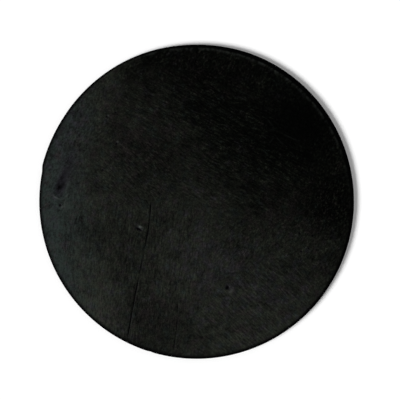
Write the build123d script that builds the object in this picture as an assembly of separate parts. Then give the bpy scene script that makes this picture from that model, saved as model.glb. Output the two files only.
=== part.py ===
"""Flexible magnet disc: one round blank die-cut from calendered rubber-ferrite sheet.

Millimetres. The origin is the centre of the flat underside, +Z points out of the worn upper
face, and +Y lies near the direction in which the sheet was rolled.

The die enters the upper face, so that rim is rolled over and the underside's rim is nearly
sharp. The die leaned a little, so the roll is wide on one side and narrow on the other. The
knife's two ends don't quite meet, which leaves a low step in the outline. The upper face
carries the marks of use: two creases, a gouge, a nick and some pits, all cut into it.
"""

from build123d import *
import os
from math import cos, radians, sin, tan

# ---- the blank ----
DISC_DIAMETER = 76.2
SHEET_THICKNESS = 1.524

# ---- the rim as the leaning die leaves it ----
ROLL_WIDEST = 0.90  # from the rim in to where the face would start its slope
ROLL_NARROWEST = 0.22  # the same on the far side
ROLL_WIDEST_ANGLE = 45.0  # degrees round from +X
ROLL_SLOPE = 19.5  # degrees below the face
FACE_EASE = 2.0  # radius that leads the face into the slope
WALL_EASE = 0.10  # radius that leads the slope into the wall
UNDER_BREAK = 0.06  # break of the underside's edge

# ---- the step where the knife's ends meet ----
STEP_HEIGHT = 0.22
STEP_START = 146.0  # degrees round from +X, where the outline leaves the circle
STEP_TOP = 166.5  # where it stands proudest
STEP_END = 169.0  # where it is back on the circle
STEP_EASE = 3.0  # radius that rounds the outline's turns there

# ---- the nick in the rim ----
RIM_NICK_ANGLE = 253.0
RIM_NICK_TOOL_RADIUS = 0.9
RIM_NICK_DEPTH = 0.09

# ---- marks on the face: a place is (share of the flat face's radius, degrees round from +X) ----
CREASE_WIDTH = 0.30
CREASE_FLOOR = 0.08  # width of the groove's flat bottom
CREASE_DEPTH = 0.10
LONG_CREASE = [(0.291, 179.0), (0.351, 208.5), (0.480, 224.8), (0.742, 237.5), (0.990, 243.3)]
SHORT_CREASE = [(0.623, 259.4), (0.828, 261.1), (0.938, 261.2)]

GOUGE_PLACE = (0.880, 175.8)  # the centre of the gouge's blunt end
GOUGE_DIRECTION = 70.0  # the way its tail runs, degrees round from +X
GOUGE_TOOL_RADIUS = 8.0
GOUGE_TILT = 0.85  # degrees by which the tool leaned, which sets the tail's length
GOUGE_DEPTH = 0.16

NICK_PLACE = (0.405, 205.0)
NICK_DIRECTION = 155.0
NICK_LENGTH = 0.9  # between the centres of its round ends
NICK_TOOL_RADIUS = 0.8
NICK_DEPTH = 0.15

PIT_TOOL_RADIUS = 0.65
PIT_DEPTH = 0.20
PITS = [(0.589, 289.8)]

SMALL_PIT_TOOL_RADIUS = 0.40
SMALL_PIT_DEPTH = 0.09
SMALL_PITS = [
    (0.781, 343.6),
    (0.813, 345.4),
    (0.695, 342.8),
    (0.747, 334.4),
    (0.783, 337.2),
    (0.954, 347.2),
    (0.795, 136.6),
    (0.773, 132.2),
    (0.635, 161.4),
    (0.586, 104.7),
]

# ---- worked out ----
DISC_RADIUS = DISC_DIAMETER / 2
ROLL_WIDTH = (ROLL_WIDEST + ROLL_NARROWEST) / 2
ROLL_OFFSET = (ROLL_WIDEST - ROLL_NARROWEST) / 2  # from the disc's centre to the flat face's
FACE_RADIUS = DISC_RADIUS - ROLL_WIDTH
FACE = SHEET_THICKNESS  # height of the upper face
OVERCUT = 0.5  # how far a cutting tool reaches past what it cuts


def on_circle(radius, angle):
    """The point at a radius and an angle in degrees, as X and Y."""
    return (radius * cos(radians(angle)), radius * sin(radians(angle)))


def on_face(place):
    """X and Y of a mark from its share of the face's radius and its angle."""
    share, angle = place
    return on_circle(share * FACE_RADIUS, angle)


def outline():
    """The disc's outline: a circle but for the step where the knife's ends meet."""
    start = on_circle(DISC_RADIUS, STEP_START)
    top = on_circle(DISC_RADIUS + STEP_HEIGHT, STEP_TOP)
    end = on_circle(DISC_RADIUS, STEP_END)
    far_side = on_circle(DISC_RADIUS, (STEP_START + STEP_END) / 2 + 180)
    circle = ThreePointArc(end, far_side, start)
    rise = TangentArc(start, top, tangent=on_circle(1, STEP_START + 90))
    fall = Line(top, end)
    face = make_face([circle, rise, fall])
    turns = face.vertices().sort_by_distance(start)[1:]
    return fillet(turns, STEP_EASE)


def rolled_cap():
    """What the die leaves of the sheet's upper side: a flat round face with a slope all round."""
    slope_width = SHEET_THICKNESS / tan(radians(ROLL_SLOPE))
    cap = Cone(FACE_RADIUS + slope_width, FACE_RADIUS, SHEET_THICKNESS)
    cap = fillet(cap.edges().group_by(Axis.Z)[-1], FACE_EASE)
    centre = on_circle(-ROLL_OFFSET, ROLL_WIDEST_ANGLE)
    return Pos(*centre, SHEET_THICKNESS / 2) * cap


def is_upper_arris(edge):
    """Whether an edge is one where the slope meets the wall."""
    middle = edge @ 0.5
    on_wall = middle.Z > FACE / 2 and abs((edge % 0.5).Z) < 0.5
    return on_wall and Vector(middle.X, middle.Y).length > DISC_RADIUS - ROLL_NARROWEST / 2


def blank():
    """The sheet's thickness in the outline, with its rolled upper rim and broken lower edge."""
    solid = extrude(outline(), amount=SHEET_THICKNESS) & rolled_cap()
    solid = fillet(solid.edges().filter_by(is_upper_arris), WALL_EASE)
    return chamfer(solid.edges().group_by(Axis.Z)[0], UNDER_BREAK)


def crease(places):
    """The tool for a crease: a groove with sloping walls along a run of places."""
    height = CREASE_DEPTH + OVERCUT
    slope = (CREASE_WIDTH - CREASE_FLOOR) / CREASE_DEPTH
    top_width = CREASE_FLOOR + slope * height
    bottom = FACE - CREASE_DEPTH
    section = Polyline(
        (-CREASE_FLOOR / 2, bottom),
        (CREASE_FLOOR / 2, bottom),
        (top_width / 2, bottom + height),
        (-top_width / 2, bottom + height),
        close=True,
    )
    turn = Pos(0, 0, bottom + height / 2) * Cone(CREASE_FLOOR / 2, top_width / 2, height)
    points = [Vector(*on_face(place)) for place in places]
    tool = [Pos(point) * turn for point in points]
    for here, there in zip(points, points[1:]):
        run = there - here
        start = Plane(origin=here, x_dir=Vector(0, 0, 1).cross(run), z_dir=run)
        tool.append(extrude(start * make_face(section), amount=run.length))
    return tool[0] + tool[1:]


def gouge():
    """The tool for the gouge: a leaning bar with a ball end, so the mark thins along its tail."""
    length = 2 * GOUGE_DEPTH / sin(radians(GOUGE_TILT))
    bar = Cylinder(GOUGE_TOOL_RADIUS, length, align=(Align.CENTER, Align.CENTER, Align.MIN))
    leaning_bar = Rot(0, 0, GOUGE_DIRECTION) * Rot(0, 90 - GOUGE_TILT, 0) * bar
    centre = Pos(*on_face(GOUGE_PLACE), FACE - GOUGE_DEPTH + GOUGE_TOOL_RADIUS)
    return centre * (Sphere(GOUGE_TOOL_RADIUS) + leaning_bar)


def nick():
    """The tool for the nick in the face: a short bar with two ball ends."""
    bar = Rot(0, 90, 0) * Cylinder(NICK_TOOL_RADIUS, NICK_LENGTH)
    ends = [Pos(side * NICK_LENGTH / 2, 0, 0) * Sphere(NICK_TOOL_RADIUS) for side in (-1, 1)]
    centre = Pos(*on_face(NICK_PLACE), FACE - NICK_DEPTH + NICK_TOOL_RADIUS)
    return centre * Rot(0, 0, NICK_DIRECTION) * (bar + ends)


def pits(places, radius, depth):
    """The tools for pits: one ball for each."""
    return [Pos(*on_face(place), FACE - depth + radius) * Sphere(radius) for place in places]


def rim_nick():
    """The tool for the nick in the rim: an upright bar that bites into the edge."""
    bar = Cylinder(RIM_NICK_TOOL_RADIUS, SHEET_THICKNESS + 2 * OVERCUT)
    reach = DISC_RADIUS - RIM_NICK_DEPTH + RIM_NICK_TOOL_RADIUS
    return Pos(*on_circle(reach, RIM_NICK_ANGLE), SHEET_THICKNESS / 2) * bar


def magnet_disc():
    """The whole disc: the blank, less every mark of use."""
    solid = blank()
    solid -= crease(LONG_CREASE)
    solid -= crease(SHORT_CREASE)
    solid -= gouge()
    solid -= nick()
    solid -= pits(PITS, PIT_TOOL_RADIUS, PIT_DEPTH)
    solid -= pits(SMALL_PITS, SMALL_PIT_TOOL_RADIUS, SMALL_PIT_DEPTH)
    return solid - rim_nick()


os.makedirs("parts", exist_ok=True)
export_step(magnet_disc(), "parts/magnet_disc.step")
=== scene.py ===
"""Flexible magnet disc: the look of one round blank die-cut from rubber-ferrite sheet.

The classes hold sizes in millimetres and angles in degrees round from +X. Meshes are written
in metres, with the underside on Z = 0 and the worn face up.
"""

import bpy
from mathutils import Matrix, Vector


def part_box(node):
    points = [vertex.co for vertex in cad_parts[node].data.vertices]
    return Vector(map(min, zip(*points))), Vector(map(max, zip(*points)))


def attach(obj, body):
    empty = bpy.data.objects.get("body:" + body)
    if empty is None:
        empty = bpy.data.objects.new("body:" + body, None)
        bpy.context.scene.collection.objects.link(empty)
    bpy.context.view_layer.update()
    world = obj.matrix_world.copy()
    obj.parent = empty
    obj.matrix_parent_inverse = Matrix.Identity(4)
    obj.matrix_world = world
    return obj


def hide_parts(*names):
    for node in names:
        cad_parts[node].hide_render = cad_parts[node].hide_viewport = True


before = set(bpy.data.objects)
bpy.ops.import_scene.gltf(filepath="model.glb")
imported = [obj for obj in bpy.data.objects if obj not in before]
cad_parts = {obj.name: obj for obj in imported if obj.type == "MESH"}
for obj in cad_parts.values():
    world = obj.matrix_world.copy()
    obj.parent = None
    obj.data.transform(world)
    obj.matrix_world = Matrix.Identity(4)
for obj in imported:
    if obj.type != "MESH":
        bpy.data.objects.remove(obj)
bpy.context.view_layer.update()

import logging
import math
import random
from dataclasses import dataclass
from enum import Enum
from typing import Any, Callable, Iterable, Optional, Sequence, Union

import bpy
from mathutils import Euler, Vector, noise
from mathutils.geometry import delaunay_2d_cdt

MM = 0.001
NODE = "magnet_disc"
BODY = "root"
CREASE_MASK = "crease"
PITTING_MASK = "pitting"
BRUISE_AND_SHADE_MASK = "bruise_and_shade"
LIP_HIGHLIGHT_MASK = "lip"
RIM_BARE_AND_SHADE_MASK = "roll"

log = logging.getLogger("magnet_disc")


class Ease(Enum):
    """How a Map Range node goes from its low end to its high end."""

    STRAIGHT = "LINEAR"
    SMOOTH = "SMOOTHSTEP"


# ---------------------------------------------------------------- nodes as Python expressions


class Value:
    """A node's output socket that takes part in arithmetic: each operator adds its Math node."""

    def __init__(self, web: "NodeWeb", socket: bpy.types.NodeSocket) -> None:
        """Wraps a socket.

        Args:
            web: the tree that the socket is in.
            socket: the output socket.
        """
        self.web = web
        self.socket = socket

    def _math(self, operation: str, *terms: "Term") -> "Value":
        """One Math node over these terms, as a value."""
        return self.web.value("ShaderNodeMath", {"operation": operation}, dict(enumerate(terms)))

    def __add__(self, other: "Term") -> "Value":
        """self + other."""
        return self._math("ADD", self, other)

    def __radd__(self, other: "Term") -> "Value":
        """other + self."""
        return self._math("ADD", other, self)

    def __sub__(self, other: "Term") -> "Value":
        """self - other."""
        return self._math("SUBTRACT", self, other)

    def __rsub__(self, other: "Term") -> "Value":
        """other - self."""
        return self._math("SUBTRACT", other, self)

    def __mul__(self, other: "Term") -> "Value":
        """self * other."""
        return self._math("MULTIPLY", self, other)

    def __rmul__(self, other: "Term") -> "Value":
        """other * self."""
        return self._math("MULTIPLY", other, self)

    def __truediv__(self, other: "Term") -> "Value":
        """self / other."""
        return self._math("DIVIDE", self, other)

    def __pow__(self, power: "Term") -> "Value":
        """self to a power."""
        return self._math("POWER", self, power)

    def least(self, other: "Term") -> "Value":
        """The smaller of the two."""
        return self._math("MINIMUM", self, other)

    def most(self, other: "Term") -> "Value":
        """The larger of the two."""
        return self._math("MAXIMUM", self, other)

    def between(self, low: float, high: float, ease: Ease = Ease.SMOOTH) -> "Value":
        """0 at low and below, 1 at high and above, whichever of the two is larger.

        Args:
            low: where the result is 0.
            high: where the result is 1.
            ease: how it goes from one to the other.

        Returns:
            The mask.
        """
        flip = low > high
        settings = {"interpolation_type": ease.value, "clamp": True}
        ends = {"From Min": min(low, high), "From Max": max(low, high)}
        sides = {"To Min": 1.0 if flip else 0.0, "To Max": 0.0 if flip else 1.0}
        return self.web.value("ShaderNodeMapRange", settings, {"Value": self, **ends, **sides})


Term = Union[Value, float]


class NodeWeb:
    """A node tree under construction, for a material, the world or a modifier."""

    def __init__(self, tree: bpy.types.NodeTree) -> None:
        """Takes over a tree and empties it.

        Args:
            tree: the tree to build in.
        """
        self.tree = tree
        tree.nodes.clear()

    def add(
        self,
        kind: str,
        settings: Optional[dict[str, Any]] = None,
        inputs: Optional[dict[Union[str, int], Any]] = None,
    ) -> bpy.types.Node:
        """Adds a node of any type.

        Args:
            kind: the node's type.
            settings: its own properties, which are set first.
            inputs: the value of, or the link into, each socket by name or place.

        Returns:
            The node.
        """
        node = self.tree.nodes.new(kind)
        for name, setting in (settings or {}).items():
            setattr(node, name, setting)
        for key, given in (inputs or {}).items():
            socket = node.inputs[key] if isinstance(key, int) else self._named(node, key)
            if isinstance(given, Value):
                self.tree.links.new(given.socket, socket)
            elif isinstance(given, bpy.types.NodeSocket):
                self.tree.links.new(given, socket)
            else:
                socket.default_value = given
        return node

    @staticmethod
    def _named(node: bpy.types.Node, name: str) -> bpy.types.NodeSocket:
        """The input of that name which the node's settings leave in use."""
        return next(s for s in node.inputs if s.name == name and s.enabled)

    def value(
        self,
        kind: str,
        settings: Optional[dict[str, Any]] = None,
        inputs: Optional[dict[Union[str, int], Any]] = None,
        output: Optional[str] = None,
    ) -> Value:
        """Adds a node and wraps one of its outputs.

        Args:
            kind: the node's type.
            settings: its own properties.
            inputs: the values or links of its sockets.
            output: the output's name, or None for the first in use.

        Returns:
            The wrapped output.
        """
        node = self.add(kind, settings, inputs)
        used = [s for s in node.outputs if s.enabled and output in (None, s.name)]
        return Value(self, used[0])


class ShaderWeb(NodeWeb):
    """A material's tree, with the few patterns that the finishes share."""

    def __init__(self, name: str) -> None:
        """Makes a material and starts its tree.

        Args:
            name: the material's name.
        """
        self.material = bpy.data.materials.new(name)
        self.material.use_nodes = True
        super().__init__(self.material.node_tree)
        place = self.value("ShaderNodeTexCoord", output="Object")
        self.place = self.scaled(place, (1 / MM, 1 / MM, 1 / MM))

    def scaled(self, vector: Value, factors: Sequence[float]) -> Value:
        """Multiplies each part of a vector.

        Args:
            vector: the vector.
            factors: the factor for X, for Y and for Z.

        Returns:
            The multiplied vector.
        """
        return self.value(
            "ShaderNodeVectorMath", {"operation": "MULTIPLY"}, {0: vector, 1: factors}
        )

    def laid_along(self, angle: float, stretch: float, vector: Optional[Value] = None) -> Value:
        """Coordinates in which a pattern is drawn out along one direction of the face.

        Args:
            angle: the direction, in degrees round from +X.
            stretch: how many times longer than wide the pattern becomes.
            vector: the coordinates to start from, or None for the place in millimetres.

        Returns:
            The turned and squeezed coordinates.
        """
        turned = self.value(
            "ShaderNodeVectorRotate",
            {"rotation_type": "Z_AXIS"},
            {"Vector": vector or self.place, "Angle": -math.radians(angle)},
        )
        return self.scaled(turned, (1 / stretch, 1, 1))

    def noise(self, vector: Value, size: float, detail: float = 2.0, rough: float = 0.5) -> Value:
        """Smooth noise from about 0 to 1.

        Args:
            vector: the coordinates that it is read at.
            size: how far apart its lumps are, in millimetres.
            detail: how many finer layers it has.
            rough: how strong those layers are.

        Returns:
            The noise.
        """
        inputs = {"Vector": vector, "Scale": 1 / size, "Detail": detail, "Roughness": rough}
        return self.value("ShaderNodeTexNoise", None, inputs, "Fac")

    def patch(self, centre: Sequence[float], reach: Sequence[float], turn: float = 0.0) -> Value:
        """A soft oval patch on the face: 1 at its centre and 0 at its edge.

        Args:
            centre: X and Y of its centre.
            reach: its two half-lengths, before it is turned.
            turn: the direction of the first half-length.

        Returns:
            The patch as a mask.
        """
        moved = self.value(
            "ShaderNodeVectorMath",
            {"operation": "SUBTRACT"},
            {0: self.place, 1: (centre[0], centre[1], 0)},
        )
        turned = self.value(
            "ShaderNodeVectorRotate",
            {"rotation_type": "Z_AXIS"},
            {"Vector": moved, "Angle": -math.radians(turn)},
        )
        oval = self.scaled(turned, (1 / reach[0], 1 / reach[1], 0))
        length = self.value(
            "ShaderNodeVectorMath", {"operation": "LENGTH"}, {0: oval}, "Value"
        )
        return length.between(1, 0)

    def mixed(self, factor: Term, first: Any, second: Any) -> Value:
        """The first colour where the factor is 0 and the second where it is 1."""
        inputs = {"Factor": factor, "A": first, "B": second}
        return self.value("ShaderNodeMix", {"data_type": "RGBA"}, inputs, "Result")

    def attribute(self, name: str) -> Value:
        """A number that the mesh carries at each of its points."""
        return self.value("ShaderNodeAttribute", {"attribute_name": name}, None, "Fac")

    def finish(self, shader: Value) -> bpy.types.Material:
        """Joins the shader to the output and gives the material."""
        self.add("ShaderNodeOutputMaterial", None, {"Surface": shader})
        return self.material


# ---------------------------------------------------------------- the finish


@dataclass(frozen=True)
class Patch:
    """A soft oval part of the face that is paler or darker than the rest."""

    centre: tuple
    reach: tuple
    amount: float
    turn: float = 0.0


@dataclass(frozen=True)
class Strokes:
    """A fan of fine parallel rubbing strokes, within a soft oval part of the face."""

    centre: tuple
    reach: tuple
    turn: float
    direction: float
    width: float
    stretch: float


@dataclass(frozen=True)
class WornRubber:
    """Black rubber-ferrite with a rolled skin, scuffed by use, with a pale bloom and painted sheen
    on one side, painted shade in its hollows and along its rim, and painted highlights on its
    raised lips.
    """

    skin: tuple = (0.0002, 0.0003, 0.0002, 1)
    olive: tuple = (0.0210, 0.0246, 0.0172, 1)
    teal: tuple = (0.0170, 0.0258, 0.0236, 1)
    violet: tuple = (0.0244, 0.0214, 0.0305, 1)
    umber: tuple = (0.0272, 0.0208, 0.0212, 1)
    # Pale painted highlight on raised lips, the rim's bead and scratch burrs.
    lip: tuple = (0.070, 0.078, 0.072, 1)
    # Near-black on the face: the rim without bloom, and painted shade in creases, dents and the
    # gouge.
    rolled: tuple = (0.0003, 0.0003, 0.0004, 1)
    wall: tuple = (0.0085, 0.0085, 0.0088, 1)
    wall_pale: tuple = (0.0165, 0.0165, 0.0170, 1)
    smooth: float = 0.26
    dull: float = 0.50
    specular: float = 0.11
    raw_specular: float = 0.02
    raw_roughness: float = 0.62

    # Patches of bloom and painted sheen: paler or darker parts of the face.
    BLOOM_AND_SHEEN_PATCHES = (
        Patch((-15, -14), (13, 34), -0.28, -8),
        Patch((0, -8), (13, 24), 0.08, -8),
        Patch((-12, 21), (17, 14), 0.22),
        Patch((-10, 27), (9, 9), 0.10),
        Patch((-27, -6), (11, 9), -0.18),
        Patch((-10, -27), (9, 7), -0.09),
        Patch((-11, 12), (9, 8), -0.14),
        Patch((-2, 13), (8, 9), 0.10),
        Patch((-10, -33), (21, 14), -0.34),
        Patch((3, 30), (20, 12), -0.02),
        Patch((25, 17), (15, 12), -0.10),
        Patch((23, -10), (17, 10), 0.10),
        Patch((33, -3), (9, 12), -0.10),
    )
    # Painted shade: the upper right, away from the key lamp, is made blackest.
    BLACKEST = Patch((25, 19), (15, 13), -0.85)
    STROKES = (
        Strokes((-16, -12), (27, 34), 0, 82, 0.32, 4.0),
        Strokes((4, 14), (36, 22), -25, -28, 0.33, 5.0),
        Strokes((14, -26), (24, 13), 35, -43, 0.34, 5.0),
        Strokes((-15, 7), (15, 12), 0, -42, 0.36, 3.5),
    )

    def material(self, radius: float, thickness: float) -> bpy.types.Material:
        """Builds the finish for the whole disc.

        Args:
            radius: the disc's radius; not used.
            thickness: the disc's thickness.

        Returns:
            The material.
        """
        web = ShaderWeb("worn_rubber")
        parts = web.add("ShaderNodeSeparateXYZ", None, {0: web.place})
        x, y, z = (Value(web, parts.outputs[i]) for i in range(3))
        on_top = z.between(thickness * 0.55, thickness * 0.70)
        # Bloom with painted sheen, paler towards the lower left where the key lamp stands.
        bloom_and_sheen = self._bloom_and_sheen(web, x, y)
        strokes = self._strokes(web)
        pressed = web.attribute(CREASE_MASK)
        # Painted shade: the creases are made near-black and dull.
        crease = pressed.most(0)
        # Painted shade in the dents and the gouge, with the gouge's rubbed streak.
        bruise_and_shade = web.attribute(BRUISE_AND_SHADE_MASK)
        # Painted highlight on raised lips, the bead and scratch burrs.
        lip = web.attribute(LIP_HIGHLIGHT_MASK).most(0 - pressed)
        # Near-black, dull rubber for the wall and underside, for the rim without bloom, and as
        # painted shade in creases, dents and the gouge.
        bare_and_shaded = web.attribute(RIM_BARE_AND_SHADE_MASK).most(crease).most(bruise_and_shade**2).most(1 - on_top)

        mottle = web.noise(web.place, 2.6, 2) - 0.5
        # Painted shade: fewer pale strokes at the upper right, away from the key lamp.
        blackest = web.patch(self.BLACKEST.centre, self.BLACKEST.reach)
        sparse = strokes**4 * (1 + self.BLACKEST.amount * blackest) * (0.6 + 1.6 * mottle).most(0)
        # How far the pale bloom and the painted sheen lie over the black skin.
        bloom_and_sheen_cover = 0.5 * bloom_and_sheen * (0.22 + 1.42 * strokes + 1.5 * mottle) + 0.60 * sparse
        bloom_and_sheen_cover = (bloom_and_sheen_cover * (1 - 0.7 * bruise_and_shade)).most(0)
        colour = web.mixed(bloom_and_sheen_cover, self.skin, self._hue(web, x, y, bruise_and_shade))
        colour = web.mixed(lip, colour, self.lip)
        rough = self.smooth + (self.dull - self.smooth) * (0.8 * bloom_and_sheen + 0.3 * strokes).least(1)

        on_wall = z.between(0.03, 0.10) * (1 - on_top)
        skin_grain = 0.008 * web.noise(web.place, 0.45, 3, 0.6)
        height = skin_grain * (0.3 + 0.7 * on_top) * (1 - on_wall) + 0.010 * strokes * on_top
        height = height + self._cut_lines(web) * on_wall
        rolling = self._rolling_lines(web)
        bump = web.value("ShaderNodeBump", None, {"Height": height, "Distance": MM})
        worn = web.value(
            "ShaderNodeBsdfPrincipled",
            None,
            {
                "Base Color": colour,
                "Roughness": rough,
                "Normal": bump,
                "Specular IOR Level": self.specular,
            },
        )
        # Dull rubber: the wall's own colour, and near-black painted shade on the face.
        raw_and_shade = web.value(
            "ShaderNodeBsdfPrincipled",
            None,
            {
                "Base Color": web.mixed(
                    on_top, web.mixed(rolling, self.wall, self.wall_pale), self.rolled
                ),
                "Roughness": self.raw_roughness,
                "Normal": bump,
                "Specular IOR Level": self.raw_specular,
            },
        )
        both = {0: (bare_and_shaded * (1 - lip)).least(1), 1: worn, 2: raw_and_shade}
        return web.finish(web.value("ShaderNodeMixShader", None, both))

    def _bloom_and_sheen(self, web: ShaderWeb, x: Value, y: Value) -> Value:
        """How much pale bloom and painted sheen lie on the face: 0 where it is black, and 1 or more
        where pale.

        Args:
            web: the material's tree.
            x: X in millimetres.
            y: Y in millimetres.

        Returns:
            The bloom and the painted sheen.
        """
        slow = web.noise(web.place, 9, 3, 0.6) - 0.5
        # Painted sheen: paler towards the lower left, where the key lamp stands, and darker towards
        # the upper right.
        uphill = y + 0.62 * x + 14 * slow
        bloom_and_sheen = 0.05 + 0.80 * uphill.between(24, -20)
        from_axis = (x * x + y * y) ** 0.5 + 5 * slow
        # Painted sheen: a pale crescent along the left rim.
        bloom_and_sheen = bloom_and_sheen + 0.62 * from_axis.between(25, 36) * x.between(-12, -24)
        for patch in self.BLOOM_AND_SHEEN_PATCHES:
            bloom_and_sheen = bloom_and_sheen + patch.amount * web.patch(patch.centre, patch.reach, patch.turn)
        return bloom_and_sheen.most(0)

    def _hue(self, web: ShaderWeb, x: Value, y: Value, bruise_and_shade: Value) -> Value:
        """The bloom's colour: olive, with teal, violet and umber clouds.

        Args:
            web: the material's tree.
            x: X in millimetres.
            y: Y in millimetres; not used.
            bruise_and_shade: how bruised the face is, with painted shade in the hollows.

        Returns:
            The colour.
        """
        clouds = web.noise(web.place, 6, 3) - 0.5
        cool = web.noise(web.place, 1.9, 3, 0.6)
        warm = web.noise(web.scaled(web.place, (1, -1, 1)), 2.0, 3, 0.6)
        left = (x - 14 * clouds).between(-22, -34)
        hue = web.mixed(0.85 * left, self.olive, self.teal)
        low = web.patch((6, -17), (20, 14), -20).most(web.patch((21, -22), (14, 9), 40))
        low = low.most(web.patch((-31, 18), (9, 9)))
        cool_share = (0.45 * low + 3.4 * (cool - 0.5)).between(0, 0.7)
        hue = web.mixed(0.6 * cool_share, hue, self.violet)
        brown = web.patch((-13, 14), (17, 15)).most(web.patch((24, -2), (17, 11)))
        brown = brown.most(web.patch((-10, -27), (10, 9))).most(web.patch((2, 32), (18, 9)))
        brown = (0.45 * brown + 3.4 * (warm - 0.5)).between(0, 0.7)
        hue = web.mixed(0.65 * brown, hue, self.umber)
        hue = web.mixed(0.6 * warm.between(0.45, 0.33), hue, self.teal)
        return web.mixed((bruise_and_shade * 1.5).least(0.8), hue, self.violet)

    def _strokes(self, web: ShaderWeb) -> Value:
        """The fine grain, drawn out into fans of rubbing strokes.

        Args:
            web: the material's tree.

        Returns:
            The grain, from 0 to 1.
        """
        fine = web.noise(web.place, 0.42, 3, 0.8)
        drawn = web.noise(web.laid_along(60, 2), 0.40, 2, 0.6)
        for fan in self.STROKES:
            fibres = web.noise(web.laid_along(fan.direction, fan.stretch), fan.width, 2, 0.6)
            patch = web.patch(fan.centre, fan.reach, fan.turn).between(0, 0.4)
            drawn = drawn + patch * (fibres - drawn)
        mixed = 0.55 * fine + 0.45 * drawn
        return mixed.between(0.365, 0.635, Ease.STRAIGHT)

    def _rolling_lines(self, web: ShaderWeb) -> Value:
        """The faint straight lines that the sheet's rolling left below.

        Args:
            web: the material's tree.

        Returns:
            The lines, from 0 to 1.
        """
        drawn = web.noise(web.scaled(web.place, (1, 0.05, 1)), 0.5, 3, 0.6)
        cloudy = web.noise(web.place, 7, 3, 0.6)
        return (0.55 * drawn + 0.45 * cloudy).between(0.38, 0.62, Ease.STRAIGHT)

    def _cut_lines(self, web: ShaderWeb) -> Value:
        """The knife's fine upright lines on the cut wall, in millimetres of height."""
        return 0.02 * web.noise(web.scaled(web.place, (1, 1, 0.12)), 0.3, 3, 0.6)


# ---------------------------------------------------------------- the shape


@dataclass(frozen=True)
class Outline:
    """The disc's rim seen from above."""

    radius: float
    inset: float = 0.01
    left_inset: float = 0.06
    step_height: float = 0.26
    step_start: float = 146.0
    step_top: float = 166.5
    step_end: float = 169.5
    flat_depth: float = 0.18
    flat_angle: float = 91.0
    flat_spread: float = 17.0
    nick_angle: float = 253.0
    nick_depth: float = 0.09
    nick_spread: float = 0.7

    def at(self, angle: float) -> float:
        """The rim's distance from the centre at an angle.

        Args:
            angle: degrees round from +X, from 0 to 360.

        Returns:
            The distance.
        """
        flat = self.flat_depth * bell(angle - self.flat_angle, self.flat_spread)
        nick = self.nick_depth * bell(angle - self.nick_angle, self.nick_spread)
        left = self.left_inset * bell(angle - 180, 45)
        return self.radius - self.inset - flat - nick - left + self._step(angle)

    def _step(self, angle: float) -> float:
        """How far the step where the knife's ends meet stands out.

        Args:
            angle: degrees round from +X.

        Returns:
            The distance past the rim.
        """
        if self.step_start < angle <= self.step_top:
            share = (angle - self.step_start) / (self.step_top - self.step_start)
            return self.step_height * share**1.4
        if self.step_top < angle < self.step_end:
            share = (self.step_end - angle) / (self.step_end - self.step_top)
            return self.step_height * share * share * (3 - 2 * share)
        return 0.0


@dataclass(frozen=True)
class Roll:
    """The upper rim as a leaning die leaves it: wide on one side and narrow on the other."""

    widest: float = 0.90
    narrowest: float = 0.22
    widest_angle: float = 45.0
    slope: float = 19.5
    ease: float = 2.0
    arris: float = 0.07
    bead_height: float = 0.016
    bead_width: float = 0.30
    bead_angle: float = 66.0
    bead_spread: float = 48.0

    def width(self, angle: float) -> float:
        """How far in from the rim the face would start its slope, at an angle."""
        mean, swing = (self.widest + self.narrowest) / 2, (self.widest - self.narrowest) / 2
        return mean + swing * math.cos(math.radians(angle - self.widest_angle))

    def reach(self, angle: float) -> float:
        """How far in from the rim the roll is first felt, at an angle."""
        return self.width(angle) + self._tangent()

    def bare_reach(self, angle: float) -> float:
        """How far in from the rim the face loses its bloom and takes painted shade.

        Args:
            angle: degrees round from +X.

        Returns:
            The distance.
        """
        beside_bead = 0.34 * bell(turned(angle, self.widest_angle), 38)
        opposite = 0.16 * bell(turned(angle, 252), 45)
        tight = 0.32 * bell(turned(angle, 112), 20)
        return 0.90 + beside_bead + opposite - tight

    def bareness_and_shade(self, inward: float, angle: float) -> float:
        """How far the rim has lost its bloom and takes painted shade.

        Args:
            inward: the distance in from the rim.
            angle: degrees round from +X.

        Returns:
            The share, from 0 on the face to 1 on the roll.
        """
        share = (self.width(angle) - self.narrowest) / (self.widest - self.narrowest)
        return min(1.0, max(0.0, (self.bare_reach(angle) - inward) / (0.66 - 0.34 * share)))

    def drop(self, inward: float, angle: float) -> float:
        """How far the roll takes the surface down.

        Args:
            inward: the distance in from the rim.
            angle: degrees round from +X.

        Returns:
            The drop, which is 0 on the flat face.
        """
        tangent = self._tangent()
        outward = self.width(angle) - inward
        fall = math.tan(math.radians(self.slope))
        if outward >= tangent:
            down = outward * fall
        elif outward > -tangent:
            down = fall * (outward + tangent) ** 2 / (4 * tangent)
        else:
            down = 0.0
        if inward < self.arris:
            down += self.arris - math.sqrt(max(self.arris**2 - (self.arris - inward) ** 2, 0))
        return down

    def bead(self, inward: float, angle: float) -> float:
        """The broken bead at the head of a wide roll.

        Args:
            inward: the distance in from the rim.
            angle: degrees round from +X.

        Returns:
            The bead, from 0 off it to about 1 on it.
        """
        share = bell(turned(angle, self.bead_angle), self.bead_spread)
        patchy = 0.50 + 1.4 * noise.noise(Vector((angle * 0.35, 3.1, 0.0)))
        patchy += 1.6 * noise.noise(Vector((angle * 1.3, 8.2, inward * 1.6)))
        stray = 0.22 * noise.noise(Vector((angle * 0.7, 6.4, 0.0)))
        offset = inward - self.bare_reach(angle) - 0.08 - stray
        return share * min(1.3, max(patchy, 0.0)) * bell(offset, self.bead_width)

    def _tangent(self) -> float:
        """Half the width over which the face turns into the slope."""
        return self.ease * math.tan(math.radians(self.slope / 2))


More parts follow.
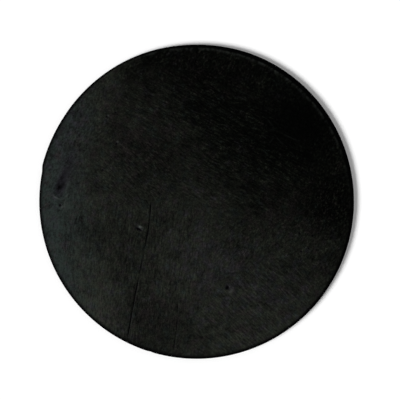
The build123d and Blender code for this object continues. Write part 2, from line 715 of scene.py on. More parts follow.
@dataclass(frozen=True)
class Gouge:
    """The comet-shaped gouge near the rim, with a raised lip round its blunt end."""

    share: float = 0.880
    angle: float = 175.8
    direction: float = 70.0
    depth: float = 0.13
    length: float = 13.0
    bar_radius: float = 10.0
    lip_height: float = 0.045
    lip_reach: float = 1.95
    lip_width: float = 0.16

    def cut(self, x: float, y: float, face_radius: float) -> float:
        """How deep the gouge is cut at a point, in millimetres.

        Args:
            x: the point's X.
            y: the point's Y.
            face_radius: the flat face's radius.

        Returns:
            The depth.
        """
        along, across = local(x, y, self.share * face_radius, self.angle, self.direction)
        if along > 0:
            cut = self.depth * (1 - along / self.length) - across**2 / (2 * self.bar_radius)
        else:
            cut = self.depth - (along**2 + across**2) / (2 * self.bar_radius)
        return max(cut, 0.0)

    def stain_and_shade(self, x: float, y: float, face_radius: float) -> float:
        """How far the bloom is rubbed away at a point, with painted shade in the hollow, widening
        and fading up the tail.

        Args:
            x: the point's X.
            y: the point's Y.
            face_radius: the flat face's radius.

        Returns:
            The share, from 0 to 1.
        """
        along, across = local(x, y, self.share * face_radius, self.angle, self.direction)
        up_tail = max(along, 0.0)
        width = 1.0 + 0.12 * up_tail
        fade = max(0.0, 1 - up_tail / self.length) * bell(min(along, 0.0), 1.3)
        return fade * bell(across - 0.3, width)

    def lip(self, x: float, y: float, face_radius: float) -> float:
        """How much of the raised lip lies at a point, from 0 to 1.

        Args:
            x: the point's X.
            y: the point's Y.
            face_radius: the flat face's radius.

        Returns:
            The share.
        """
        along, across = local(x, y, self.share * face_radius, self.angle, self.direction)
        turn = math.degrees(math.atan2(-across, -along))
        broken = max(0.0, 0.7 + 1.1 * noise.noise(Vector((x * 1.9, y * 1.9, 5.0))))
        reach = self.lip_reach + 0.5 * noise.noise(Vector((x * 0.9, y * 0.9, 2.0)))
        crest = bell(math.hypot(along, across) - reach, self.lip_width)
        return min(1.0, broken * crest * (bell(turn + 12, 22) + 0.35 * bell(turn - 60, 30)))


@dataclass(frozen=True)
class Dent:
    """A small round or oval dent, with or without a raised lip on one side."""

    share: float
    angle: float
    reach: float
    depth: float
    stretch: float = 1.0
    direction: float = 0.0
    lip_height: float = 0.0
    lip_angle: float = 90.0
    lip_out: float = 1.4

    def cut(self, x: float, y: float, face_radius: float) -> float:
        """How deep the dent is at a point, in millimetres."""
        return self.depth * max(0.0, 1 - self._from_centre(x, y, face_radius)[0] ** 2)

    def lip(self, x: float, y: float, face_radius: float) -> float:
        """How much of the raised lip lies at a point.

        Args:
            x: the point's X.
            y: the point's Y.
            face_radius: the flat face's radius.

        Returns:
            The share, from 0 to 1.
        """
        distance, turn = self._from_centre(x, y, face_radius)
        toward = math.cos(turn - math.radians(self.lip_angle))
        crest = bell(distance - self.lip_out, 0.55)
        return max(toward, 0.0) ** 5 * crest if self.lip_height else 0.0

    def _from_centre(self, x: float, y: float, face_radius: float) -> tuple:
        """A point's distance from the dent's centre, as a share of its reach, and its bearing.

        Args:
            x: the point's X.
            y: the point's Y.
            face_radius: the flat face's radius.

        Returns:
            The share, and the bearing in radians from the dent's own direction.
        """
        along, across = local(x, y, self.share * face_radius, self.angle, self.direction)
        distance = math.hypot(along / self.stretch, across) / self.reach
        return distance, math.atan2(across, along)


@dataclass(frozen=True)
class Crease:
    """A hairline crease along a run of places, each a share of the face's radius and an angle.

    One with a strength below 0 is a scratch, whose burr stands up and takes the pale painted
    highlight.
    """

    places: tuple
    strength: float = 1.0
    ebb: float = 0.0
    ebb_at: float = 0.42
    spacing: float = 0.22
    taper: float = 1.6

    def path(self, face_radius: float) -> list[Vector]:
        """Points along the crease, evenly spaced on a smooth line through its places.

        Args:
            face_radius: the flat face's radius.

        Returns:
            The points.
        """
        knots = [polar(share * face_radius, angle) for share, angle in self.places]
        ends = [2 * knots[0] - knots[1], *knots, 2 * knots[-1] - knots[-2]]
        points = []
        for before, here, there, after in zip(ends, ends[1:], ends[2:], ends[3:]):
            count = max(2, round((there - here).length / self.spacing))
            points += [rounded(before, here, there, after, i / count) for i in range(count)]
        return [*points, knots[-1]]

    def strengths(self, points: Sequence[Vector]) -> list[float]:
        """How deep the crease is along its way, fading at both ends.

        Args:
            points: the crease's points.

        Returns:
            A strength for each point.
        """
        from_start, run = [0.0], 0.0
        for here, there in zip(points, points[1:]):
            run += (there - here).length
            from_start.append(run)
        uneven = (1.0 + 0.9 * noise.noise(Vector((s * 0.35, run, 9.0))) for s in from_start)
        fades = (min(s, run - s) / self.taper for s in from_start)
        ebbs = (1.0 - self.ebb * bell(s / run - self.ebb_at, 0.12) for s in from_start)
        shares = zip(uneven, fades, ebbs)
        return [self.strength * min(1.0, u * e * min(1.0, max(0.12, f))) for u, f, e in shares]


# ---------------------------------------------------------------- small geometry


def polar(radius: float, angle: float) -> Vector:
    """The point at a radius and an angle in degrees."""
    turn = math.radians(angle)
    return Vector((radius * math.cos(turn), radius * math.sin(turn)))


def local(x: float, y: float, radius: float, angle: float, direction: float) -> tuple:
    """A point's place along and across a direction, measured from a polar centre.

    Args:
        x: the point's X.
        y: the point's Y.
        radius: the centre's distance from the axis.
        angle: the centre's angle.
        direction: the direction, in degrees round from +X.

    Returns:
        The distances along and across.
    """
    centre = polar(radius, angle)
    dx, dy, turn = x - centre.x, y - centre.y, math.radians(direction)
    along = dx * math.cos(turn) + dy * math.sin(turn)
    return along, dy * math.cos(turn) - dx * math.sin(turn)


def turned(angle: float, start: float) -> float:
    """How far an angle lies round from a start, from -180 to 180 degrees."""
    return (angle - start + 180) % 360 - 180


def bell(offset: float, spread: float) -> float:
    """1 at no offset, falling smoothly to almost 0 at two and a half spreads."""
    return math.exp(-((offset / spread) ** 2))


def rounded(a: Vector, b: Vector, c: Vector, d: Vector, share: float) -> Vector:
    """A point on a smooth line through four others, between the middle two.

    Args:
        a: the point before.
        b: the point where the stretch starts.
        c: the point where it ends.
        d: the point after.
        share: how far along the stretch, from 0 to 1.

    Returns:
        The point.
    """
    pull = (c - a) / 2
    push = (d - b) / 2
    s2, s3 = share**2, share**3
    return (2 * s3 - 3 * s2 + 1) * b + (s3 - 2 * s2 + share) * pull + (
        3 * s2 - 2 * s3
    ) * c + (s3 - s2) * push


# ---------------------------------------------------------------- the wear modifier


class WearTree(NodeWeb):
    """The modifier that presses creases along their paths and scatters pits over the face."""

    SIZES = {
        "Crease Width": 0.56 * MM,
        "Crease Depth": 0.06 * MM,
        "Pits per Area": 30000.0,
        "Pit Radius": 0.42 * MM,
        "Pit Depth": 0.030 * MM,
        "Face Level": 1.4 * MM,
    }
    SEED = 11
    RESAMPLE = 0.15 * MM
    STRENGTH = "strength"

    def __init__(self) -> None:
        """Starts the tree and gives it its named inputs."""
        group = bpy.data.node_groups.new("wear", "GeometryNodeTree")
        super().__init__(group)
        self.sockets = {}
        self._declare("Geometry", "NodeSocketGeometry")
        self._declare("Crease Paths", "NodeSocketObject")
        for name in self.SIZES:
            self._declare(name, "NodeSocketFloat")
        self._declare("Seed", "NodeSocketInt")
        self._declare("Finish", "NodeSocketMaterial")
        group.interface.new_socket("Geometry", in_out="OUTPUT", socket_type="NodeSocketGeometry")
        self.given = self.add("NodeGroupInput")
        self._build()

    def _declare(self, name: str, kind: str) -> None:
        """Adds a named input and keeps its identifier."""
        item = self.tree.interface.new_socket(name, in_out="INPUT", socket_type=kind)
        self.sockets[name] = item.identifier

    def _input(self, name: str) -> Value:
        """A named input as a value."""
        return Value(self, self.given.outputs[name])

    def _build(self) -> None:
        """Makes the nodes from the inputs to the output."""
        face = self._input("Geometry")
        here = self.value("GeometryNodeInputPosition")
        height = self.value("ShaderNodeSeparateXYZ", None, {0: here}, "Z")
        on_face = self.value(
            "FunctionNodeCompare",
            {"data_type": "FLOAT", "operation": "GREATER_THAN"},
            {"A": height, "B": self._input("Face Level")},
        )
        crease = self._crease()
        pits = self._pits(face, on_face)
        down = crease * self._input("Crease Depth") + pits * self._input("Pit Depth")
        offset = self.value("ShaderNodeCombineXYZ", None, {"Z": 0 - down})
        kept = self.value(
            "GeometryNodeStoreNamedAttribute",
            {"data_type": "FLOAT", "domain": "POINT"},
            {"Geometry": face, "Selection": on_face, "Name": CREASE_MASK, "Value": crease},
        )
        moved = self.value(
            "GeometryNodeSetPosition",
            None,
            {"Geometry": kept, "Selection": on_face, "Offset": offset},
        )
        real = self.value("GeometryNodeRealizeInstances", None, {"Geometry": moved})
        dressed = self.value(
            "GeometryNodeSetMaterial",
            None,
            {"Geometry": real, "Material": self._input("Finish")},
        )
        self.add("NodeGroupOutput", None, {"Geometry": dressed})

    def _crease(self) -> Value:
        """How deep in a crease each point lies.

        Returns:
            The share, from 0 outside to 1 at the bottom of a deep one.
        """
        paths = self.value(
            "GeometryNodeObjectInfo", None, {"Object": self._input("Crease Paths")}, "Geometry"
        )
        radius = self.value("GeometryNodeInputRadius")
        marked = self.value(
            "GeometryNodeStoreNamedAttribute",
            {"data_type": "FLOAT", "domain": "POINT"},
            {"Geometry": paths, "Name": self.STRENGTH, "Value": radius - 1},
        )
        even = self.value(
            "GeometryNodeResampleCurve",
            {"mode": "LENGTH"},
            {"Curve": marked, "Length": self.RESAMPLE},
        )
        line = self.value("GeometryNodeCurveToMesh", None, {"Curve": even})
        distance = self.value(
            "GeometryNodeProximity", {"target_element": "EDGES"}, {0: line}, "Distance"
        )
        nearest = self.value("GeometryNodeSampleNearest", {"domain": "POINT"}, {0: line})
        kept = self.value(
            "GeometryNodeInputNamedAttribute", {"data_type": "FLOAT"}, {"Name": self.STRENGTH}
        )
        strength = self.value(
            "GeometryNodeSampleIndex",
            {"data_type": "FLOAT", "domain": "POINT"},
            {"Geometry": line, "Value": kept, "Index": nearest},
        )
        share = distance / (0.5 * self._input("Crease Width"))
        return share.between(1, 0.25) * strength

    def _pits(self, face: Value, on_face: Value) -> Value:
        """How deep in a scattered pit each point lies, from 0 outside to 1 at its bottom.

        Args:
            face: the geometry that the pits are scattered over.
            on_face: which of its points are on the upper face.

        Returns:
            The depth's share.
        """
        pitting = self.value(
            "GeometryNodeInputNamedAttribute", {"data_type": "FLOAT"}, {"Name": PITTING_MASK}
        )
        spots = self.value(
            "GeometryNodeDistributePointsOnFaces",
            {"distribute_method": "RANDOM"},
            {
                "Mesh": face,
                "Selection": on_face,
                "Density": pitting * self._input("Pits per Area"),
                "Seed": self._input("Seed"),
            },
            "Points",
        )
        distance = self.value(
            "GeometryNodeProximity", {"target_element": "POINTS"}, {0: spots}, "Distance"
        )
        nearest = self.value("GeometryNodeSampleNearest", {"domain": "POINT"}, {0: spots})
        size = self.value(
            "FunctionNodeRandomValue",
            {"data_type": "FLOAT"},
            {"Min": 0.45, "Max": 1.0, "ID": nearest, "Seed": self._input("Seed")},
        )
        share = distance / (size * self._input("Pit Radius"))
        return (1 - share * share).most(0) * size

    def wear(
        self, piece: bpy.types.Object, paths: bpy.types.Object, finish: bpy.types.Material
    ) -> bpy.types.Object:
        """Wears a piece and gives a plain one in its place.

        Args:
            piece: the piece as the die and the sheet leave it.
            paths: the curves of the creases.
            finish: the material that it wears.

        Returns:
            The worn piece, with no modifier.
        """
        modifier = piece.modifiers.new("wear", "NODES")
        modifier.node_group = self.tree
        given = {**self.SIZES, "Crease Paths": paths, "Seed": self.SEED, "Finish": finish}
        for name, size in given.items():
            modifier[self.sockets[name]] = size
        graph = bpy.context.evaluated_depsgraph_get()
        worn = bpy.data.meshes.new_from_object(
            piece.evaluated_get(graph), preserve_all_data_layers=True, depsgraph=graph
        )
        piece.modifiers.remove(modifier)
        bpy.data.objects.remove(paths)
        piece.data = worn
        return piece


# ---------------------------------------------------------------- the disc


@dataclass
class MagnetDisc:
    """The disc: its rim, its worn face, its cut wall and its plain underside."""

    outline: Outline
    thickness: float
    roll: Roll = Roll()
    gouge: Gouge = Gouge()
    finish: WornRubber = WornRubber()
    segments: int = 960
    face_grid: float = 0.34
    mark_grid: float = 0.15
    under_grid: float = 1.6
    clearance: float = 0.055
    wave_height: float = 0.035
    under_break: float = 0.06
    wall_lines: float = 0.012
    cell: float = 0.5
    rim_zone: float = 1.2
    gouge_zone: float = 14.0
    dent_zone: float = 3.0
    gouge_patch: float = 3.0
    dent_patch: float = 1.3
    grid_margin: float = 0.22
    mark_margin: float = 0.12
    full_lip: float = 0.045

    CREASE_ROWS = (-0.36, -0.23, -0.14, -0.07, 0, 0.07, 0.14, 0.23, 0.36)
    ROLL_SHARES = (0.86, 0.72, 0.6, 0.49, 0.39, 0.30, 0.22, 0.15, 0.09, 0.045, 0.015, 0.0)
    WALL_SHARES = (0.06, 0.2, 0.38, 0.56, 0.76, 1.0)
    DENTS = (
        Dent(0.412, 205.7, 0.42, 0.12, 2.7, 155.0, 0.040, 264.0, 1.55),
        Dent(0.589, 289.8, 0.66, 0.13, 1.0, 0.0, 0.014, -50.0, 1.9),
        Dent(0.878, 181.6, 0.42, 0.06, 1.0, 0.0, 0.016, -40.0, 1.7),
        Dent(0.781, 343.6, 0.32, 0.06),
        Dent(0.813, 345.4, 0.30, 0.05),
        Dent(0.695, 342.8, 0.30, 0.05),
        Dent(0.747, 334.4, 0.32, 0.05),
        Dent(0.783, 337.2, 0.30, 0.05),
        Dent(0.954, 347.2, 0.30, 0.05),
        Dent(0.795, 136.6, 0.32, 0.05, 1.0, 0.0, 0.015, 30.0),
        Dent(0.773, 132.2, 0.28, 0.04),
        Dent(0.635, 144.2, 0.30, 0.05, 1.3, 60.0, 0.014, 0.0),
        Dent(0.635, 161.4, 0.30, 0.05),
        Dent(0.586, 104.7, 0.30, 0.05),
    )
    CREASES = (
        Crease(
            ((0.291, 179.0), (0.351, 208.5), (0.480, 224.8), (0.742, 237.5), (0.990, 243.3)),
            strength=1.0,
            ebb=0.66,
        ),
        Crease(
            ((0.640, 259.4), (0.828, 261.1), (0.975, 261.2)), strength=0.72, ebb=0.55, ebb_at=0.30
        ),
        Crease(((0.522, 251.9), (0.560, 253.1)), 0.45),
        Crease(((0.147, 194.5), (0.206, 221.3)), 0.45),
        Crease(((0.149, 241.1), (0.200, 245.4)), 0.40),
        Crease(((0.263, 195.9), (0.306, 213.3)), 0.55),
        Crease(((0.416, 279.6), (0.468, 275.2), (0.512, 273.3)), 0.45),
        Crease(((0.653, 271.6), (0.717, 270.4)), 0.40),
        Crease(((0.915, 326.0), (0.948, 322.2)), 0.35),
        Crease(((0.921, 187.6), (0.944, 191.6)), 0.40),
        Crease(((0.684, 224.8), (0.745, 228.0), (0.820, 232.8)), 0.30),
        Crease(((0.772, 72.1), (0.763, 58.4)), -0.03),
        Crease(((0.727, 68.0), (0.727, 62.5)), -0.05),
        Crease(((0.702, 38.2), (0.763, 30.4)), -0.03),
        Crease(((0.584, 38.3), (0.658, 39.7)), -0.03),
        Crease(((0.658, 39.7), (0.670, 30.8)), -0.03),
        Crease(((0.850, 179.0), (0.848, 184.5)), -0.20),
        Crease(((0.700, 50.5), (0.690, 43.0)), -0.03),
        Crease(((0.610, 79.0), (0.590, 68.0)), -0.03),
    )

    def build(self) -> bpy.types.Object:
        """Makes the disc and wears it.

        Returns:
            The finished piece.
        """
        rim = [self._rim_point(i, self.roll.reach) for i in range(self.segments)]
        face_points, face_triangles = self._filled(rim, self._face_places())
        points = [(p.x, p.y, self._face_height(p.x, p.y)) for p in face_points]
        triangles = [*face_triangles]
        last = list(range(self.segments))
        for ring in self._rings():
            start = len(points)
            points += ring
            following = list(range(start, start + self.segments))
            triangles += self._band(last, following)
            last = following
        bottom = [Vector(points[i][:2]) for i in last]
        under_points, under_triangles = self._filled(bottom, self._under_places())
        start = len(points) - self.segments
        points += [(p.x, p.y, 0.0) for p in under_points[self.segments :]]
        triangles += [(start + c, start + b, start + a) for a, b, c in under_triangles]
        piece = self._object(points, triangles)
        self._mark(piece.data, PITTING_MASK, self._pitting)
        self._mark(piece.data, BRUISE_AND_SHADE_MASK, self._bruise_and_shade)
        self._mark(piece.data, LIP_HIGHLIGHT_MASK, self._lip_highlight)
        self._mark(piece.data, RIM_BARE_AND_SHADE_MASK, self._bareness_and_shade)
        material = self.finish.material(self.outline.radius, self.thickness)
        return WearTree().wear(piece, self._crease_paths(), material)

    def _face_radius(self) -> float:
        """The flat face's radius, which the marks' places are shares of."""
        return self.outline.radius - (self.roll.widest + self.roll.narrowest) / 2

    def _rim_point(self, index: int, inward: Callable[[float], float]) -> Vector:
        """The point of one segment that lies a distance in from the rim, which may vary."""
        angle = 360 * index / self.segments
        return polar(self.outline.at(angle) - inward(angle), angle)

    def _filled(self, ring: Sequence[Vector], inside: Iterable[Vector]) -> tuple:
        """Triangles over the inside of a ring.

        Args:
            ring: the ring's points, anticlockwise, which come first in the result.
            inside: the points within it.

        Returns:
            The points, and the triangles as triples of their places, anticlockwise.
        """
        count = len(ring)
        edges = [(i, (i + 1) % count) for i in range(count)]
        points, _, triangles, sources, _, _ = delaunay_2d_cdt(
            [*ring, *inside], edges, [], 1, 1e-5
        )
        order = sorted(range(len(points)), key=lambda i: min(sources[i]))
        place = {old: new for new, old in enumerate(order)}
        return [points[i] for i in order], [tuple(place[i] for i in t) for t in triangles]

    def _face_places(self) -> list[Vector]:
        """Where the face's points lie: an uneven grid, finer at the marks and along the creases.

        Returns:
            The places.
        """
        shuffle = random.Random(5)
        limit = self.outline.radius - self.roll.widest - 0.9
        close = self._crease_rows()
        taken = {self._cell_of(p) for p in close}
        places = [
            p
            for p in self._grid(limit + 1.2, self.face_grid, shuffle)
            if self._cell_of(p) not in taken and self._is_inside(p, self.grid_margin)
        ]
        for mark in (self.gouge, *self.DENTS):
            centre = polar(mark.share * self._face_radius(), mark.angle)
            reach = self.gouge_patch if mark is self.gouge else self.dent_patch
            places = [p for p in places if (p - centre).length > reach]
            patch = self._grid(reach, self.mark_grid, shuffle)
            moved = (p + centre for p in patch)
            places += [p for p in moved if self._is_inside(p, self.mark_margin)]
        return places + [p for p in close if self._is_inside(p, self.mark_margin)]

    def _cell_of(self, point: Vector) -> tuple:
        """The square of the face that a point lies in, as its column and row."""
        return round(point.x / self.cell), round(point.y / self.cell)

    def _under_places(self) -> list[Vector]:
        """Where the underside's points lie: a slightly uneven grid."""
        limit = self.outline.radius - 1.0
        return self._grid(limit, self.under_grid, random.Random(6))

    def _is_inside(self, point: Vector, margin: float) -> bool:
        """Whether a point of the face is at least a margin inside the roll's head."""
        angle = math.degrees(math.atan2(point.y, point.x)) % 360
        return point.length < self.outline.at(angle) - self.roll.reach(angle) - margin

    @staticmethod
    def _grid(limit: float, spacing: float, shuffle: random.Random) -> list[Vector]:
        """The points of a triangular grid, each moved a little at random.

        Args:
            limit: the radius that they lie within.
            spacing: the distance between neighbours.
            shuffle: the source of the moves.

        Returns:
            The points.
        """
        rise = spacing * math.sqrt(3) / 2
        count = int(limit / rise) + 1
        places = []
        for j in range(-count, count + 1):
            for i in range(-count - 1, count + 2):
                x = (i + 0.5 * (j % 2)) * spacing + shuffle.uniform(-0.18, 0.18) * spacing
                y = j * rise + shuffle.uniform(-0.18, 0.18) * spacing
                if x * x + y * y < limit * limit:
                    places.append(Vector((x, y)))
        return places

    def _crease_rows(self) -> list[Vector]:
        """Rows of points along each crease, close together across it.

        Returns:
            The points.
        """
        rows = []
        for crease in self.CREASES:
            path = crease.path(self._face_radius())
            for here, there in zip(path, path[1:]):
                side = (there - here).orthogonal().normalized()
                rows += [here + side * across for across in self.CREASE_ROWS]
        return rows

    def _rings(self) -> Iterable[list[tuple]]:
        """The rings of points from the roll's head down to the underside's edge.

        Yields:
            Each ring's points in order.
        """
        for share in self.ROLL_SHARES:
            yield [self._roll_point(i, share) for i in range(self.segments)]
        for share in self.WALL_SHARES:
            yield [self._wall_point(i, share) for i in range(self.segments)]
        yield [self._under_rim_point(i) for i in range(self.segments)]

    def _roll_point(self, index: int, share: float) -> tuple:
        """A point on the roll.

        Args:
            index: the segment.
            share: how far in from the rim to the roll's head, from 0 to 1.

        Returns:
            X, Y and Z.
        """
        place = self._rim_point(index, lambda angle: share * self.roll.reach(angle))
        return (place.x, place.y, self._face_height(place.x, place.y))

    def _wall_point(self, index: int, share: float) -> tuple:
        """A point on the cut wall.

        Args:
            index: the segment.
            share: how far down from the roll to the break, from 0 to 1.

        Returns:
            X, Y and Z.
        """
        angle = 360 * index / self.segments
        top = self._face_height(*self._rim_point(index, lambda _: 0.0))
        height = top + (self.under_break - top) * share
        line = noise.noise(Vector((index * 0.9, height * 0.8, 1.7)))
        tear = noise.noise(Vector((index * 0.05, height * 2.5, 8.3)))
        depth = self.wall_lines * (0.6 + 0.5 * line + 0.9 * tear) * math.sin(math.pi * share)
        place = self._rim_point(index, lambda _: max(depth, 0.0))
        return (place.x, place.y, height)

    def _under_rim_point(self, index: int) -> tuple:
        """A point on the underside's edge."""
        place = self._rim_point(index, lambda _: self.under_break)
        return (place.x, place.y, 0.0)

    def _band(self, upper: Sequence[int], lower: Sequence[int]) -> list[tuple]:
        """The triangles between two rings, facing outward.

        Args:
            upper: the places of the upper ring's points.
            lower: the places of the lower ring's points.

        Returns:
            The triangles as triples of places.
        """
        count = len(upper)
        triangles = []
        for i in range(count):
            a, b = upper[i], upper[(i + 1) % count]
            c, d = lower[i], lower[(i + 1) % count]
            triangles += [(a, c, b), (b, c, d)]
        return triangles

    def _face_height(self, x: float, y: float) -> float:
        """The height of the face or the roll at a point.

        Args:
            x: the point's X.
            y: the point's Y.

        Returns:
            The height above the underside.
        """
        inward, angle = self._from_rim(x, y)
        level = self.thickness - self.clearance
        slow = noise.noise(Vector((x / 13, y / 13, 0.4)))
        quick = noise.noise(Vector((x / 4.5, y / 4.5, 7.2)))
        level += self.wave_height * (0.8 * slow + 0.22 * quick)
        if inward < self.roll.reach(angle) + self.rim_zone:
            level += self.roll.bead_height * self.roll.bead(inward, angle)
            level -= self.roll.drop(max(inward, 0.0), angle)
        for mark in (self.gouge, *self.DENTS):
            if self._is_near(mark, x, y):
                level += mark.lip_height * mark.lip(x, y, self._face_radius())
                level -= mark.cut(x, y, self._face_radius())
        return min(level, self.thickness)

    def _from_rim(self, x: float, y: float) -> tuple:
        """A point's distance in from the rim, and its angle."""
        angle = math.degrees(math.atan2(y, x)) % 360
        return self.outline.at(angle) - math.hypot(x, y), angle

    def _is_near(self, mark: Union[Gouge, Dent], x: float, y: float) -> bool:
        """Whether a point is close enough to a mark for it to matter."""
        away = Vector((x, y)) - polar(mark.share * self._face_radius(), mark.angle)
        return away.length < (self.gouge_zone if mark is self.gouge else self.dent_zone)

    def _pitting(self, x: float, y: float) -> float:
        """How thickly pits are scattered at a point.

        Args:
            x: the point's X.
            y: the point's Y.

        Returns:
            The share, from 0 to 1.
        """
        right = bell(math.hypot(x - 27, (y + 8) * 0.8), 10)
        left = 0.5 * bell(math.hypot(x + 22, y - 18), 9)
        return 0.05 + 0.6 * right + 0.4 * left

    def _bruise_and_shade(self, x: float, y: float) -> float:
        """How dark a mark makes the face at a point: the gouge's rubbed streak, with painted shade
        in the gouge and the dents.

        Args:
            x: the point's X.
            y: the point's Y.

        Returns:
            The share, at most 1.
        """
        stain_and_shade = 0.68 * self.gouge.stain_and_shade(x, y, self._face_radius())
        stain_and_shade *= 1.0 + 0.7 * noise.noise(Vector((x * 1.2, y * 0.9, 4.4)))
        # Painted shade: two dark spots in the gouge, above its lip.
        stain_and_shade += 0.42 * bell(math.hypot(x + 33.2, (y - 3.4) * 0.7), 0.38)
        stain_and_shade += 0.30 * bell(math.hypot(x + 32.4, (y - 5.9) * 0.8), 0.40)
        # Painted shade in the dents, darkest where they are deepest.
        dents = [m for m in self.DENTS if self._is_near(m, x, y)]
        depths = (m.cut(x, y, self._face_radius()) / m.depth for m in dents)
        return min(1.0, stain_and_shade + 1.1 * sum(depths))

    def _lip_highlight(self, x: float, y: float) -> float:
        """How much painted highlight lies at a point, on a raised lip or the rim's bead.

        Args:
            x: the point's X.
            y: the point's Y.

        Returns:
            The share, at most 1.
        """
        marks = [m for m in (self.gouge, *self.DENTS) if self._is_near(m, x, y)]
        lips = (m.lip(x, y, self._face_radius()) * m.lip_height / self.full_lip for m in marks)
        return min(1.0, sum(lips) + 0.16 * self.roll.bead(*self._from_rim(x, y)))

    def _bareness_and_shade(self, x: float, y: float) -> float:
        """How far the roll has lost its bloom and takes painted shade, from 0 to 1."""
        return self.roll.bareness_and_shade(*self._from_rim(x, y))

    def _mark(self, mesh: bpy.types.Mesh, name: str, rule: Callable[[float, float], float]) -> None:
        """Gives each point of the upper face a number from a rule on its X and Y.

        Args:
            mesh: the mesh.
            name: the attribute's name.
            rule: the rule, in millimetres.
        """
        layer = mesh.attributes.new(name, "FLOAT", "POINT")
        level = self.thickness / 2 * MM
        for point, item in zip(mesh.vertices, layer.data):
            if point.co.z > level:
                item.value = rule(point.co.x / MM, point.co.y / MM)

    @staticmethod
    def _object(points: Sequence[tuple], triangles: Sequence[tuple]) -> bpy.types.Object:
        """Makes a smooth-shaded object at the origin.

        Args:
            points: X, Y and Z of each point, in millimetres.
            triangles: triples of the points' places.

        Returns:
            The object.
        """
        mesh = bpy.data.meshes.new("disc_body")
        mesh.from_pydata([Vector(p) * MM for p in points], [], triangles)
        mesh.shade_smooth()
        piece = bpy.data.objects.new("disc_body", mesh)
        bpy.context.scene.collection.objects.link(piece)
        return piece

    def _crease_paths(self) -> bpy.types.Object:
        """Makes the creases' paths as curves, whose points' radius is 1 more than their strength.

        Returns:
            The curves' object.
        """
        curve = bpy.data.curves.new("crease_paths", "CURVE")
        curve.dimensions = "3D"
        level = (self.thickness - self.clearance) * MM
        for crease in self.CREASES:
            path = crease.path(self._face_radius())
            spline = curve.splines.new("POLY")
            spline.points.add(len(path) - 1)
            for point, place, strength in zip(spline.points, path, crease.strengths(path)):
                point.co = (place.x * MM, place.y * MM, level, 1)
                point.radius = 1 + strength
        paths = bpy.data.objects.new("crease_paths", curve)
        bpy.context.scene.collection.objects.link(paths)
        return paths


# ---------------------------------------------------------------- the studio


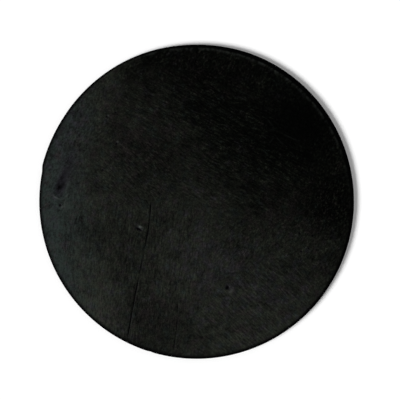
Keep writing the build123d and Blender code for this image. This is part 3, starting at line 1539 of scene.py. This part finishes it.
@dataclass
class Studio:
    """A pale floor, a soft key lamp, a ring of soft light all round and a camera above."""

    target: Vector
    view_width: float = 96.65
    lens: float = 150.0
    sensor: float = 36.0
    floor_size: float = 4000.0
    under_share: float = 0.9
    key_azimuth: float = 206.0
    key_height: float = 38.0
    key_spread: float = 30.0
    key_share: float = 0.72
    ring_level: float = 0.64

    def build(self) -> None:
        """Makes everything that isn't the disc."""
        self._floor()
        self._key()
        self._underlight()
        self._world()
        self._camera()

    def _floor(self) -> None:
        """A pale matt floor under the disc, see-through from below so the underside shows."""
        half = self.floor_size / 2 * MM
        mesh = bpy.data.meshes.new("floor")
        corners = [(-half, -half, 0), (half, -half, 0), (half, half, 0), (-half, half, 0)]
        mesh.from_pydata(corners, [], [(0, 1, 2, 3)])
        floor = bpy.data.objects.new("floor", mesh)
        bpy.context.scene.collection.objects.link(floor)
        web = ShaderWeb("pale_floor")
        matt = web.value("ShaderNodeBsdfDiffuse", None, {"Color": (0.95, 0.95, 0.95, 1)})
        glow = web.value("ShaderNodeEmission", None, {"Strength": 0.13})
        seen = web.value("ShaderNodeLightPath", output="Is Camera Ray")
        both = web.value("ShaderNodeAddShader", None, {0: matt, 1: glow})
        top = web.value("ShaderNodeMixShader", None, {0: seen, 1: matt, 2: both})
        from_below = web.value("ShaderNodeNewGeometry", output="Backfacing")
        through = from_below.most(web.value("ShaderNodeLightPath", output="Is Shadow Ray"))
        clear = web.value("ShaderNodeBsdfTransparent")
        shader = web.value("ShaderNodeMixShader", None, {0: through, 1: top, 2: clear})
        mesh.materials.append(web.finish(shader))

    def _key(self) -> None:
        """The key lamp: far away, low and soft, from the lower left."""
        energy = self.key_share * math.pi / math.sin(math.radians(self.key_height))
        turn = math.radians(self.key_azimuth + 90)
        facing = Euler((math.radians(90 - self.key_height), 0, turn), "XYZ")
        self._lamp("key", energy, self.key_spread, facing)

    def _underlight(self) -> None:
        """A lamp straight below the floor, which lights nothing but the underside."""
        self._lamp("underlight", self.under_share * math.pi, 0.5, Euler((math.pi, 0, 0), "XYZ"))

    def _lamp(self, name: str, energy: float, spread: float, facing: Euler) -> None:
        """Hangs a far-away lamp.

        Args:
            name: the lamp's name.
            energy: its strength.
            spread: how wide it looks, in degrees.
            facing: how it is turned.
        """
        lamp = bpy.data.lights.new(name, "SUN")
        lamp.energy = energy
        lamp.angle = math.radians(spread)
        holder = bpy.data.objects.new(name, lamp)
        holder.rotation_euler = facing
        bpy.context.scene.collection.objects.link(holder)

    def _world(self) -> None:
        """Soft light from a ring well below the zenith, with a white background."""
        world = bpy.data.worlds.new("studio")
        bpy.context.scene.world = world
        world.use_nodes = True
        web = NodeWeb(world.node_tree)
        way = web.value("ShaderNodeTexCoord", output="Generated")
        rise = web.value("ShaderNodeSeparateXYZ", None, {0: way}, "Z")
        ring = rise.between(0.0, 0.2) * rise.between(0.80, 0.52)
        seen = web.value("ShaderNodeLightPath", output="Is Camera Ray")
        strength = seen + (1 - seen) * ring * self.ring_level
        sky = web.value(
            "ShaderNodeBackground", None, {"Color": (1, 1, 1, 1), "Strength": strength}
        )
        web.add("ShaderNodeOutputWorld", None, {"Surface": sky})

    def _camera(self) -> None:
        """A camera with a long lens, looking straight down."""
        data = bpy.data.cameras.new("camera")
        data.lens = self.lens
        data.sensor_width = self.sensor
        camera = bpy.data.objects.new("camera", data)
        distance = self.view_width * self.lens / self.sensor
        camera.location = (self.target + Vector((0, 0, distance))) * MM
        data.clip_start, data.clip_end = 10 * MM, 10000 * MM
        bpy.context.scene.collection.objects.link(camera)
        bpy.context.scene.camera = camera


def main() -> None:
    """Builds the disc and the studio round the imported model, and reports each piece."""
    logging.basicConfig(level=logging.INFO, format="%(message)s")
    low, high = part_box(NODE)
    radius, thickness = (high.x - low.x) / 2 / MM, (high.z - low.z) / MM
    disc = MagnetDisc(Outline(radius), thickness)
    piece = disc.build()
    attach(piece, BODY)
    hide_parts(NODE)
    mesh = piece.data
    log.info("%s: %d points, %d faces", piece.name, len(mesh.vertices), len(mesh.polygons))
    Studio(Vector((0.84, 0.32, thickness))).build()
    bpy.context.scene.view_settings.view_transform = "Standard"


if __name__ == "__main__":
    main()
